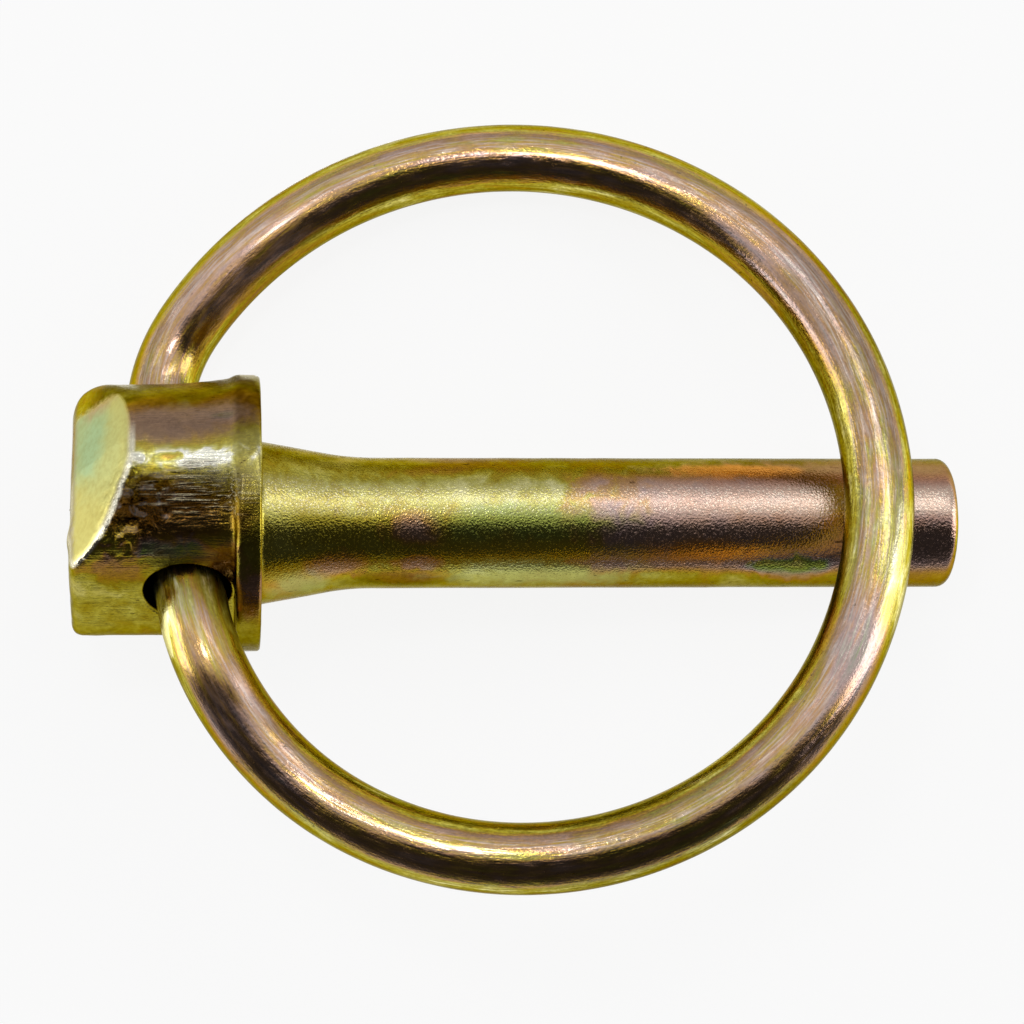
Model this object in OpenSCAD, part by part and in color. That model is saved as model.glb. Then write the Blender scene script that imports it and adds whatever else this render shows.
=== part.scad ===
// Lynch pin: a forged steel pin with a sprung wire ring that snaps over its end.
// It lies on a level surface, on its flange, its end and one side of the ring.

/* [Shank] */
// Diameter of the shank
shank_d = 9.525; // [9.4:0.005:9.6]
// Length of the shank, from the shoulder to its end
shank_len = 50.8; // [50:0.1:54]
// Rounding of the shank's end
tip_round = 0.8; // [0.3:0.1:1.5]
// Diameter of the flare where the shank leaves the shoulder
flare_d = 11.86; // [10.5:0.02:13]
// Radius that the flare loses in each millimetre of length
flare_slope = 0.18; // [0.12:0.01:0.3]
// Radius of the fillet that runs the flare into the shank
flare_fillet = 20; // [5:1:30]

/* [Head] */
// Diameter of the head's round body
head_d = 18.1; // [17.5:0.1:18.5]
// Length of the head, from the shoulder to its end face
head_len = 13.7; // [13:0.1:15]
// Distance across the head's two flats
across_flats = 15.24; // [15:0.02:15.6]
// Rounding of the edge round the end face
end_round = 1.1; // [0.5:0.1:1.5]
// Radius of the hollow curve where the body swells towards the flange
swell_r = 42; // [30:1:80]
// Length of that swelling
swell_len = 6.7; // [4:0.1:8]
// Distance of the bevel's top from the shoulder
bevel_x = 9.3; // [8.5:0.1:10]
// Angle between the bevel and the head's length
bevel_angle = 53; // [48:1:58]
// Rounding where the bevel runs over into the end face
bevel_round = 4; // [1:0.5:5]
// How far the forging sets the body off the shank's centre line
body_offset = 0.94; // [0:0.02:1]
// Direction of that offset, from the bevelled side towards the rear flat
offset_direction = 50; // [0:5:90]

/* [Flange] */
// Diameter of the flange
flange_d = 20; // [19.8:0.1:20.6]
// Thickness of the flange
flange_t = 1.8; // [1.2:0.1:2]
// How far the flange is set off the shank's centre line
flange_offset = 0.67; // [0:0.01:1]
// Rounding of the flange's edge towards the head
flange_back_round = 0.5; // [0.2:0.05:0.8]
// Rounding of the flange's edge at the shoulder
flange_front_round = 0.25; // [0.1:0.05:0.5]
// Fillet where the flats run out at the flange
flat_fillet = 0.6; // [0.3:0.1:1.5]

/* [Sockets] */
// Diameter of the two sockets that hold the ring's ends
socket_d = 6.16; // [6:0.02:6.4]
// Depth of each socket's wall
socket_depth = 5; // [4.6:0.1:5.4]
// Distance of the front socket from the shoulder
front_socket_x = 5.2; // [5.1:0.05:5.3]
// Distance of the rear socket from the shoulder
rear_socket_x = 6.85; // [6.75:0.05:6.95]
// Angle of the drill point at each socket's floor
drill_point = 118; // [110:1:135]

/* [Ring] */
// Diameter of the ring's wire
wire_d = 5; // [4.6:0.1:5.1]
// Chamfer of the wire's cut ends
wire_chamfer = 0.4; // [0.2:0.1:0.8]
// Distance from the shoulder to the pivot line, at the front flat
front_pivot_x = 4.95; // [4.9:0.05:5]
// Distance from the shoulder to the pivot line, at the rear flat
rear_pivot_x = 7.1; // [7.05:0.05:7.15]
// Angle between the closed ring's plane and the shank
ring_rise = 8.6; // [8.5:0.1:10]
// Roll of the ring's plane about the shank, which its warped legs take up
ring_roll = 20.5; // [20.4:0.1:20.6]
// Distance from the pivot to the centre of the nose arc, along the ring
nose_x = 22.7; // [22.6:0.1:22.8]
// Distance from the pivot to the centre of the nose arc, across the ring
nose_y = -0.5; // [-0.6:0.1:-0.4]
// Bend radius of the ring's nose, which passes over the shank
nose_r = 28; // [27.9:0.1:28.1]
// Bend radius of the front half
front_r = 25; // [24.9:0.1:25.1]
// Bend radius of the rear half
rear_r = 27; // [26.9:0.1:27.1]
// Bend radius of the front leg
front_leg_r = 18; // [17.9:0.1:18.1]
// Bend radius of the rear leg
rear_leg_r = 28; // [27.9:0.1:28.1]
// Bend radius where each leg turns into its socket
end_r = 8; // [7.9:0.1:8.1]
// How far each end reaches into its socket
stub_depth = 4; // [3.5:0.1:4.2]
// Straight wire between the front flat and the bend outside it
front_straight = 1.5; // [1.5:0.1:1.6]
// Straight wire between the rear flat and the bend outside it
rear_straight = 0.3; // [0.3:0.1:0.4]

/* [Rest] */
// Roll of the pin as it lies, from its bevelled side up
roll = 40; // [39:0.5:41]

/* [Hidden] */
$fn = 96;

// The ring's bending schedule: each bend's angle, and how far the wire is turned before it.
nose_start = 14;
nose_angle = 42;
front_angle = 96;
front_leg_angle = 36.8;
front_leg_turn = -45.4;
front_end_angle = 46.8;
front_end_turn = 106.8;
rear_angle = 101;
rear_leg_angle = 30.3;
rear_leg_turn = -41.3;
rear_end_angle = 64.3;
rear_end_turn = 70.4;

seam = 0.002;         // half the gap left between two bends, which a core inside them bridges

shank_r = shank_d / 2;
flare_r = flare_d / 2;
head_r = head_d / 2;
flange_r = flange_d / 2;
half_flats = across_flats / 2;
wire_r = wire_d / 2;
body_y = body_offset * sin(offset_direction);
body_z = body_offset * cos(offset_direction);
flange_y = flange_offset * sin(offset_direction);
flange_z = flange_offset * cos(offset_direction);
lap = 1;              // how far joined solids run into each other
clear = 30;           // a size beyond the whole head, for the blocks that cut it

// The pin lies on the plane that touches its flange's front edge and the shank's end.
lie_run = shank_len - tip_round + flange_front_round;
lie_drop = (flange_r - flange_front_round) - (shank_r - tip_round);
pitch = atan(lie_drop / lie_run) - asin((tip_round - flange_front_round) / norm([lie_run, lie_drop]));
shoulder_z = (flange_r - flange_front_round) * cos(pitch) - flange_front_round * sin(pitch)
    + flange_front_round - flange_offset * cos(offset_direction + roll);

// The shoulder's place, with the origin under the middle of the whole part.
shoulder_x = -18.24;
shoulder_y = -2.06;

// Lays down children that are drawn along +X with the shoulder at the origin.
module lying() {
    translate([shoulder_x, shoulder_y, shoulder_z])
        rotate([0, pitch, 0])
            rotate([-roll, 0, 0])
                children();
}

// Turns a profile of (radius, distance along X) about the X axis.
module turned() {
    rotate([0, 90, 0])
        rotate_extrude()
            children();
}

// Half of a round bar, seen from the side, with its far edge rounded.
module bar_profile(r, x0, x1, far_round) {
    translate([0, x0])
        square([r, x1 - x0 - far_round]);
    translate([0, x0])
        square([r - far_round, x1 - x0]);
    translate([r - far_round, x1 - far_round])
        circle(r = far_round);
}

// The shank with its flare, and the hollow fillet between the two.
module shank() {
    flare_angle = atan(flare_slope);
    corner_x = (flare_r - shank_r) / flare_slope;
    tangent = flare_fillet * tan(flare_angle / 2);
    fillet_r = shank_r + tangent * sin(flare_angle);
    fillet_x0 = corner_x - tangent * cos(flare_angle);
    fillet_x1 = corner_x + tangent;
    turned() {
        bar_profile(shank_r, -lap, shank_len, tip_round);
        polygon([
            [0, -lap], [flare_r, -lap], [flare_r, 0],
            [shank_r, corner_x], [0, corner_x]
        ]);
        difference() {
            polygon([
                [shank_r - lap, fillet_x0], [fillet_r, fillet_x0],
                [shank_r, fillet_x1], [shank_r - lap, fillet_x1]
            ]);
            translate([shank_r + flare_fillet, fillet_x1])
                circle(r = flare_fillet);
        }
    }
}

// The head's round body, swelling along a hollow curve towards the flange.
module body() {
    swell_x = -flange_t - swell_len;
    swell_end = -flange_t + lap / 4;
    turned() {
        mirror([0, 1])
            bar_profile(head_r, lap / 2, head_len, end_round);
        difference() {
            translate([0, swell_x])
                square([head_r + lap, swell_end - swell_x]);
            translate([head_r + swell_r, swell_x])
                circle(r = swell_r);
        }
    }
}

// What the forging leaves off the head's bevelled side, seen from the front flat.
module bevel_profile() {
    corner = [-head_len, head_r - (head_len - bevel_x) * tan(bevel_angle)];
    tangent = bevel_round * tan((90 - bevel_angle) / 2);
    low = corner - [0, tangent];
    high = corner + tangent * [cos(bevel_angle), sin(bevel_angle)];
    centre = low + [bevel_round, 0];
    difference() {
        polygon([
            high,
            [-bevel_x + lap, head_r + lap * tan(bevel_angle)],
            [-clear, head_r + lap * tan(bevel_angle)],
            [-clear, low[1]],
            low,
            centre
        ]);
        translate(centre)
            circle(r = bevel_round);
    }
}

// What is left off beside a flat, seen from the bevelled side, with the fillet at the flange.
module flat_profile() {
    x1 = -flange_t;
    translate([-clear, half_flats])
        square([clear + x1 - flat_fillet, clear]);
    translate([-clear, half_flats + flat_fillet])
        square([clear + x1, clear]);
    translate([x1 - flat_fillet, half_flats + flat_fillet])
        circle(r = flat_fillet);
}

// A drilled hole with its drill point, from a flat into the head; side is -1 or 1.
module socket(x, side) {
    translate([-x, side * half_flats, 0])
        rotate([side * 90, 0, 0])
            rotate_extrude()
                polygon([
                    [0, -lap], [socket_d / 2, -lap], [socket_d / 2, socket_depth],
                    [0, socket_depth + socket_d / 2 / tan(drill_point / 2)]
                ]);
}

module head() {
    translate([0, body_y, body_z])
        difference() {
            body();
            rotate([90, 0, 0])
                linear_extrude(height = clear, center = true)
                    bevel_profile();
            for (side = [0, 1])
                mirror([0, side, 0])
                    linear_extrude(height = clear, center = true)
                        flat_profile();
            socket(front_socket_x, -1);
            socket(rear_socket_x, 1);
        }
}

// The round disc that stops the pin at its hole.
module flange() {
    translate([0, flange_y, flange_z])
        turned() {
            bar_profile(flange_r, -flange_t / 2, 0, flange_front_round);
            mirror([0, 1])
                bar_profile(flange_r, flange_t / 2, flange_t, flange_back_round);
        }
}

module pin() {
    color("darkkhaki")
        lying() {
            shank();
            flange();
            head();
        }
}

// One bend of the wire. It starts at the origin along +X and curves towards +Y, after the
// wire is turned about X. Its children carry on from its end.
module bend(r, angle, turn = 0) {
    seam_angle = degrees_along(seam, r);
    rotate([turn, 0, 0]) {
        translate([0, r, 0])
            rotate([0, 0, seam_angle - 90])
                rotate_extrude(angle = angle - 2 * seam_angle)
                    translate([r, 0])
                        circle(d = wire_d);
        translate([r * sin(angle), r * (1 - cos(angle)), 0])
            rotate([0, 0, angle]) {
                joint();
                children();
            }
    }
}

// The angle that a length takes up along an arc of radius r.
function degrees_along(length, r) = length / r * 180 / PI;

// Joins two stretches of wire across their seam, from inside.
module joint() {
    rotate([0, 90, 0])
        cylinder(d = wire_d - lap, h = lap, center = true);
}

// The straight end of the wire, chamfered where it was cut.
module stub(straight) {
    length = straight + stub_depth;
    turned()
        polygon([
            [0, seam], [wire_r, seam], [wire_r, length - wire_chamfer],
            [wire_r - wire_chamfer, length], [0, length]
        ]);
}

module ring() {
    color("goldenrod")
        lying()
            translate([-(front_pivot_x + rear_pivot_x) / 2, body_y, body_z])
                rotate([ring_roll, 0, 0])
                    rotate([0, -ring_rise, 0])
                        translate([nose_x, nose_y, 0])
                            rotate([0, 0, nose_start])
                                translate([nose_r, 0, 0]) {
                                    joint();
                                    front_half();
                                    rear_half();
                                }
}

module front_half() {
    rotate([180, 0, -90])
        bend(nose_r, nose_angle)
            bend(front_r, front_angle)
                bend(front_leg_r, front_leg_angle, front_leg_turn)
                    bend(end_r, front_end_angle, front_end_turn)
                        stub(front_straight);
}

module rear_half() {
    rotate([0, 0, 90])
        bend(rear_r, rear_angle)
            bend(rear_leg_r, rear_leg_angle, rear_leg_turn)
                bend(end_r, rear_end_angle, rear_end_turn)
                    stub(rear_straight);
}

pin();
ring();
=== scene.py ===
import math

import bmesh
import bpy
import numpy as np
from mathutils import Matrix, Vector


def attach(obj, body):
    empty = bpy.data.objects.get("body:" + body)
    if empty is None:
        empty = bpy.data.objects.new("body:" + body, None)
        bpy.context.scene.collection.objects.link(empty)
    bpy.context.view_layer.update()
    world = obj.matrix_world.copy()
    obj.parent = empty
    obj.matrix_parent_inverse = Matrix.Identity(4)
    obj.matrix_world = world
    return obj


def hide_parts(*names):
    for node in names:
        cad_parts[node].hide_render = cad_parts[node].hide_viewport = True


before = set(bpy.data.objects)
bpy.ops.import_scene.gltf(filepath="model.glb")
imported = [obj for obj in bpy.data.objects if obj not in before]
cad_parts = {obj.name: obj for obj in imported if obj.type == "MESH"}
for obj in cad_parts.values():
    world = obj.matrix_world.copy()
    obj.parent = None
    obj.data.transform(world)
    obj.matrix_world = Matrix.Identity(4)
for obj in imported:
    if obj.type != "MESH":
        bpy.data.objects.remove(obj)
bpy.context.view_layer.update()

MM = 0.001

# ---------------------------------------------------------------- sizes, in millimetres

# The shank, with the flare at its root. X runs from the shoulder, at 0, to the shank's end.
SHANK_R = 9.525 / 2
SHANK_LEN = 50.8
TIP_ROUND = 0.8
FLARE_R = 11.86 / 2
FLARE_SLOPE = 0.18
FLARE_FILLET = 20

# The head's round body, its swelling towards the flange, its end and its bevel.
HEAD_R = 18.1 / 2
HEAD_LEN = 13.7
HALF_FLATS = 15.24 / 2
END_ROUND = 1.1
SWELL_R = 42
SWELL_START = -8.5
SWELL_LEN = 7.2
BEVEL_X = -9.3
BEVEL_ANGLE = math.radians(53)
BEVEL_TWIST = math.radians(7)
BEVEL_ROUND = 0.75
CREASE_ROUND = 0.6
FLAT_ROUND = 0.6

# The flange, and the fillets that join it to the body and the shank.
FLANGE_R = 10
FLANGE_T = 1.8
FLANGE_BACK_ROUND = 0.5
FLANGE_FRONT_ROUND = 0.25
BODY_FILLET = 0.35
WIDER_FILLET = 0.25
SHOULDER_FILLET = 0.2
# How far the body and the shank run into the flange.
BODY_LAP = 0.5
SHANK_LAP = 2

# The forging sets the body and the flange off the shank's axis, both in one direction.
BODY_OFFSET = 0.94
FLANGE_OFFSET = 0.67
OFFSET_DIRECTION = math.radians(50)
OFFSET = np.array([math.sin(OFFSET_DIRECTION), math.cos(OFFSET_DIRECTION)])
BODY_AXIS = OFFSET * BODY_OFFSET
FLANGE_AXIS = OFFSET * FLANGE_OFFSET

# The hollow arch in the front flat's upper edge.
ARCH_DEPTH = 0.45
ARCH_X = -5.6
ARCH_SPREAD = 3.8
ARCH_START = 2.4
ARCH_FULL = 5.2

# The two sockets, each with its distance from the shoulder.
SOCKET_R = 3.08
SOCKET_DEPTH = 5
SOCKET_RIM = 0.25
DRILL_POINT = math.radians(118)
FRONT_SOCKET_X = 5.2
REAR_SOCKET_X = 6.85

# The wire, and how its closed ring stands on the pivot line through both sockets.
WIRE_R = 2.5
WIRE_CHAMFER = 0.4
DRAW_MARK_DEPTH = 0.03
FRONT_PIVOT_X = 4.95
REAR_PIVOT_X = 7.1
PIVOT_X = -(FRONT_PIVOT_X + REAR_PIVOT_X) / 2
RING_RISE = 8.6
RING_ROLL = 20.5
NOSE_CENTRE = (22.7, -0.5, 0)
NOSE_START = 14
NOSE_R = 28

# Each bend of the wire as (radius, angle, turn of the wire before it), from the nose to an end.
FRONT_BENDS = ((NOSE_R, 42, 0), (25, 96, 0), (18, 36.8, -45.4), (8, 46.8, 106.8))
REAR_BENDS = ((27, 101, 0), (28, 30.3, -41.3), (8, 64.3, 70.4))
FRONT_STUB = 5.5
REAR_STUB = 4.3

# The pin lies on its flange's front edge and on the shank's end, rolled over to one side.
ROLL = math.radians(40)
LIE_RUN = SHANK_LEN - TIP_ROUND + FLANGE_FRONT_ROUND
LIE_DROP = (FLANGE_R - FLANGE_FRONT_ROUND) - (SHANK_R - TIP_ROUND)
PITCH = math.atan(LIE_DROP / LIE_RUN) - math.asin(
    (TIP_ROUND - FLANGE_FRONT_ROUND) / math.hypot(LIE_RUN, LIE_DROP)
)
SHOULDER_Z = (
    (FLANGE_R - FLANGE_FRONT_ROUND) * math.cos(PITCH)
    - FLANGE_FRONT_ROUND * math.sin(PITCH)
    + FLANGE_FRONT_ROUND
    - FLANGE_OFFSET * math.cos(OFFSET_DIRECTION + ROLL)
)
SHOULDER = Vector((-18.24, -2.06, SHOULDER_Z))

LYING = (
    Matrix.Translation(SHOULDER)
    @ Matrix.Rotation(PITCH, 4, "Y")
    @ Matrix.Rotation(-ROLL, 4, "X")
)
LYING_METRES = Matrix.Scale(MM, 4) @ LYING


# ---------------------------------------------------------------- node sums

# How far out a soft spot ends and how far out it is full, in shares of its size.
PATCH_RIM = 1.25
PATCH_CORE = 0.35


class Value:
    """One output of a node, which takes part in sums."""

    def __init__(self, nodes, socket):
        self.nodes, self.socket = nodes, socket

    def also(self, name):
        """Another output of the same node."""
        return Value(self.nodes, self.socket.node.outputs[name])

    def _sum(self, operation, first, second):
        return self.nodes.number(operation, first, second)

    def __add__(self, other):
        return self._sum("ADD", self, other)

    __radd__ = __add__

    def __mul__(self, other):
        return self._sum("MULTIPLY", self, other)

    __rmul__ = __mul__

    def __sub__(self, other):
        return self._sum("SUBTRACT", self, other)

    def __rsub__(self, other):
        return self._sum("SUBTRACT", other, self)


class Nodes:
    """A node tree whose nodes are all made by one method."""

    def __init__(self, tree):
        self.tree = tree
        tree.nodes.clear()

    def node(self, kind, settings=None, *values, out=0, **named):
        """Adds a node: its settings, then its sockets' values or links by place or name.

        A place given as None is left as it is.
        """
        made = self.tree.nodes.new(kind)
        for name, value in (settings or {}).items():
            if name == "stops":
                ramp = made.color_ramp.elements
                for place, colour in value[1:-1]:
                    ramp.new(place).color = (*colour, 1)
                for element, (place, colour) in ((ramp[0], value[0]), (ramp[-1], value[-1])):
                    element.position, element.color = place, (*colour, 1)
            elif name == "captured":
                made.capture_items.new(value, "Value")
            else:
                setattr(made, name, value)
        sockets = [(place, value) for place, value in enumerate(values) if value is not None]
        sockets += [(name.replace("_", " "), value) for name, value in named.items()]
        for key, value in sockets:
            socket = made.inputs[key]
            if isinstance(value, Value):
                self.tree.links.new(value.socket, socket)
            elif socket.type == "RGBA":
                socket.default_value = (*value, 1)
            else:
                socket.default_value = value
        return Value(self, made.outputs[out]) if made.outputs else None

    def number(self, operation, *values):
        """One step of a sum."""
        return self.node("ShaderNodeMath", {"operation": operation}, *values)

    def clamp(self, value):
        """Keeps a value from 0 to 1."""
        return self.node("ShaderNodeClamp", None, value)

    def mix(self, share, first, second):
        """Goes from the first number to the second."""
        return self.node("ShaderNodeMix", {"data_type": "FLOAT"}, share, None, first, second)

    def tint(self, share, colour, stain):
        """Multiplies a colour by a stain where the share is high."""
        settings = {"data_type": "RGBA", "blend_type": "MULTIPLY"}
        return self.node("ShaderNodeMix", settings, share, *[None] * 5, colour, stain, out=2)

    def blend(self, share, first, second):
        """Goes from the first colour to the second."""
        settings = {"data_type": "RGBA"}
        return self.node("ShaderNodeMix", settings, share, *[None] * 5, first, second, out=2)

    def ease(self, value, start, end, first=0.0, last=1.0):
        """Goes softly from first to last while the value goes from start to end."""
        return self.node("ShaderNodeMapRange", {"interpolation_type": "SMOOTHSTEP"},
                         value, start, end, first, last)

    def vector(self, operation, *values, out=0, **named):
        """One step of a sum of vectors."""
        settings = {"operation": operation}
        return self.node("ShaderNodeVectorMath", settings, *values, out=out, **named)

    def part(self, vector, axis):
        """One of a vector's three numbers: X, Y or Z."""
        return self.node("ShaderNodeSeparateXYZ", None, vector, out=axis)

    def attribute(self, name):
        """A vector that a piece's mesh holds at each point."""
        return self.node("ShaderNodeAttribute", {"attribute_name": name}, out="Vector")

    def noise(self, place, scale, detail=2.0, distortion=0.0):
        """Soft noise from 0 to 1, with scale lumps or so in each unit of place."""
        return self.node("ShaderNodeTexNoise", None, Vector=place, Scale=scale, Detail=detail,
                         Distortion=distortion)

    def drawn_noise(self, place, stretch, detail=2.0, distortion=0.0):
        """Noise whose scale differs along the three axes."""
        return self.noise(self.vector("MULTIPLY", place, stretch), 1.0, detail, distortion)

    def patches(self, place, edge, spots):
        """Adds up soft oval spots, each (middle, size, height), with their rims moved by edge."""
        total = 0
        for middle, size, height in spots:
            near = self.node("ShaderNodeMapping", {"vector_type": "TEXTURE"}, place,
                             Location=middle, Scale=size)
            away = self.vector("LENGTH", near, out="Value") + edge
            total = self.ease(away, PATCH_RIM, PATCH_CORE, 0.0, height) + total
        return total


# ---------------------------------------------------------------- the pin's solid


def rounded_both(a, b, radius):
    """The solid inside both a and b, with a rounded edge. Values are distances, inside below 0."""
    over = np.hypot(np.maximum(a + radius, 0), np.maximum(b + radius, 0))
    return np.minimum(-radius, np.maximum(a, b)) + over


def filleted_either(a, b, radius):
    """The solid inside either a or b, with a fillet between them."""
    under = np.hypot(np.maximum(radius - a, 0), np.maximum(radius - b, 0))
    return np.maximum(radius, np.minimum(a, b)) - under


def smooth_step(low, high, value):
    """Goes softly from 0 to 1 while the value goes from low to high."""
    t = np.clip((value - low) / (high - low), 0, 1)
    return t * t * (3 - 2 * t)


def shank_radius(x):
    """The shank's radius along its length, with the flare and its hollow fillet."""
    angle = math.atan(FLARE_SLOPE)
    corner = (FLARE_R - SHANK_R) / FLARE_SLOPE
    tangent = FLARE_FILLET * math.tan(angle / 2)
    start, end = corner - tangent * math.cos(angle), corner + tangent
    flare = FLARE_R - FLARE_SLOPE * x
    arc = SHANK_R + FLARE_FILLET - np.sqrt(
        np.maximum(FLARE_FILLET**2 - (x - end) ** 2, 0)
    )
    return np.where(x < start, flare, np.where(x < end, arc, SHANK_R))


def hammered_top(y, z):
    """How far the head's round side stands out where the forging left it flatter, in mm."""
    lean = np.degrees(np.arctan2(y, z)) + math.degrees(ROLL)
    places = (-40, -4, 2, 6, 10, 14, 18, 22, 25, 43, 75)
    heights = (0, -0.32, -0.31, -0.28, -0.22, -0.13, -0.02, 0.10, 0.14, 0.10, 0)
    return np.interp(lean, places, heights)


def pin_distance(x, y, z):
    """Distance from the pin's skin: x runs from the shoulder to the tip, z to the bevelled side."""
    shank = rounded_both(
        np.hypot(y, z) - shank_radius(x), x - SHANK_LEN, TIP_ROUND
    )
    shank = np.maximum(shank, -SHANK_LAP - x)

    disc = np.hypot(y - FLANGE_AXIS[0], z - FLANGE_AXIS[1]) - FLANGE_R
    disc = rounded_both(disc, -FLANGE_T - x, FLANGE_BACK_ROUND)
    disc = rounded_both(disc, x, FLANGE_FRONT_ROUND)

    by, bz = y - BODY_AXIS[0], z - BODY_AXIS[1]
    along = np.clip(x - SWELL_START, 0, SWELL_LEN)
    swell = SWELL_R - np.sqrt(SWELL_R**2 - along**2)
    wall = np.hypot(by, bz) - HEAD_R - swell - hammered_top(by, bz)
    low_side = np.maximum(bz, bz * math.cos(BEVEL_TWIST) - by * math.sin(BEVEL_TWIST))
    bevel = (low_side - HEAD_R - (x - BEVEL_X) * math.tan(BEVEL_ANGLE)) * math.cos(BEVEL_ANGLE)
    arch = np.exp(-(((x - ARCH_X) / ARCH_SPREAD) ** 2)) * smooth_step(ARCH_START, ARCH_FULL, bz)
    flats = np.abs(by) - HALF_FLATS + ARCH_DEPTH * arch * (by < 0)
    end = rounded_both(-HEAD_LEN - x, bevel, BEVEL_ROUND)
    body = rounded_both(wall, flats, FLAT_ROUND)
    body = rounded_both(body, -HEAD_LEN - x, END_ROUND)
    body = rounded_both(body, end, CREASE_ROUND)
    body = np.maximum(body, x + BODY_LAP)

    # The fillet is wider on the body's round sides, behind the flange.
    round_side = smooth_step(-1.2, 0.4, wall - flats)
    behind_flange = 1 - smooth_step(-1.9, -1.2, x)
    fillet = BODY_FILLET + WIDER_FILLET * round_side * behind_flange
    head = filleted_either(body, disc, fillet)
    return filleted_either(head, shank, SHOULDER_FILLET)


# Edges that turn by more than this stay sharp.
SHARP_ANGLE = math.radians(48)

# The middle of the head, from which a fan of rays reaches its end.
FAN_X = -6.5
# A length past any ray's way to the skin, and how often the search for the skin is halved.
RAY_REACH = 16.0
HALVINGS = 44


def skin_rays():
    """Rays that each meet the pin's skin once, from the middle of the end face to that of the tip.

    Each is (start x, start radius, direction x, direction radius, middle y, middle z).
    """
    rays = []

    def add(x, r, dx, dr, middle):
        length = math.hypot(dx, dr)
        rays.append((x, r, dx / length, dr / length, *middle))

    def sweep(x, r, start, end, shares, middle):
        """Turns rays about one point, from one angle to another."""
        for share in shares:
            angle = math.radians(start + (end - start) * share)
            add(x, r, math.cos(angle), math.sin(angle), middle)

    body, flange, shank = BODY_AXIS, FLANGE_AXIS, (0, 0)

    # The end face, then the body's side.
    fan = np.concatenate([np.arange(0, 46, 1.5), np.arange(46, 76, 0.55), np.arange(76, 90, 1.6)])
    sweep(FAN_X, 0, 180, 90, fan / 90, body)
    for x in np.linspace(FAN_X, -3.1, 20):
        add(x, 0, 0, 1, body)

    # The fillet between the body and the flange, where the rays' middle moves over.
    inner, outer = 7.0, 9.3
    for r in np.linspace(inner, outer, 12):
        share = (r - inner) / (outer - inner)
        add(0.6, 0, -2.4, r, body * (1 - share) + flange * share)

    # The flange: its back edge, its rim, its front edge and the shoulder.
    back, front = -FLANGE_T + FLANGE_BACK_ROUND, -FLANGE_FRONT_ROUND
    sweep(back, FLANGE_R - FLANGE_BACK_ROUND, 170, 90, np.arange(7) / 7, flange)
    for x in np.linspace(back, front, 6):
        add(x, 7, 0, 1, flange)
    sweep(front, FLANGE_R - FLANGE_FRONT_ROUND, 90, 0, np.arange(1, 6) / 5, flange)
    inner, outer = 6.5, 9.4
    for r in np.linspace(outer, inner, 9):
        add(-0.8, r, 1, 0, flange * (r - inner) / (outer - inner))

    # The fillet at the shank's root, the flare and the plain shank.
    for k in range(6):
        add(-2, 4, 2 + 0.06 * k, 2.3 - 0.09 * k, shank)
    for x in np.linspace(0.35, 8, 24):
        add(x, 0, 0, 1, shank)
    tip_x, tip_r = SHANK_LEN - TIP_ROUND, SHANK_R - TIP_ROUND
    for x in np.linspace(8.6, tip_x, 56):
        add(x, 0, 0, 1, shank)

    # The tip's rounded edge and its face.
    sweep(tip_x, tip_r, 90, 0, np.arange(1, 9) / 8, shank)
    for r in np.linspace(tip_r - 0.4, 0.3, 9):
        add(tip_x, r, 1, 0, shank)
    return rays


def lumps(x, y, z, size, seed):
    """A smooth random height from -1 to 1, with its lumps about size millimetres apart."""
    count = 32
    lattice = np.random.default_rng(seed).uniform(-1, 1, (count, count, count))
    cells, shares = [], []
    for value in (x, y, z):
        low = np.floor(value / size)
        share = value / size - low
        cells.append(low.astype(int))
        shares.append(share * share * (3 - 2 * share))
    total = np.zeros_like(x)
    for corner in np.ndindex(2, 2, 2):
        weight, place = 1, []
        for step, cell, share in zip(corner, cells, shares):
            weight = weight * (share if step else 1 - share)
            place.append((cell + step) % count)
        total += weight * lattice[tuple(place)]
    return total


def spot(x, y, z, middle, size):
    """1 at the middle of a soft oval spot, falling to 0 outside it."""
    away = sum(((v - m) / s) ** 2 for v, m, s in zip((x, y, z), middle, size))
    return np.exp(-away)


# Marks of the forging in the pin's own millimetres, each (middle, size).
PITTED_CORNER = ((-9.0, -4.7, 7.7), (2.3, 2.8, 2.8))
CHIPPED_RIM = ((-2.6, -6.9, 3.2), (0.8, 1.0, 1.5))
BRUISED_EDGE = ((-12.2, -6.9, 4.2), (0.7, 0.8, 0.8))
NUB = ((-13.7, -3.7, 2.8), (0.8, 0.8, 1.3))

PIT_DEPTH = 0.38
CHIP_DEPTH = 0.22
BRUISE_DEPTH = 0.05
NUB_HEIGHT = 0.2

# The lumps that break up the skin and those marks, each (how far apart, seed).
HEAD_LUMPS = (2.6, 1)
FINE_LUMPS = (0.9, 2)
SHANK_LUMPS = (1.8, 3)
PITS = (0.55, 4)
CHIPS = (0.5, 5)
BRUISES = (0.4, 6)
HEAD_LUMP_HEIGHT = 0.055
FINE_LUMP_HEIGHT = 0.03
SHANK_LUMP_HEIGHT = 0.012


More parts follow.
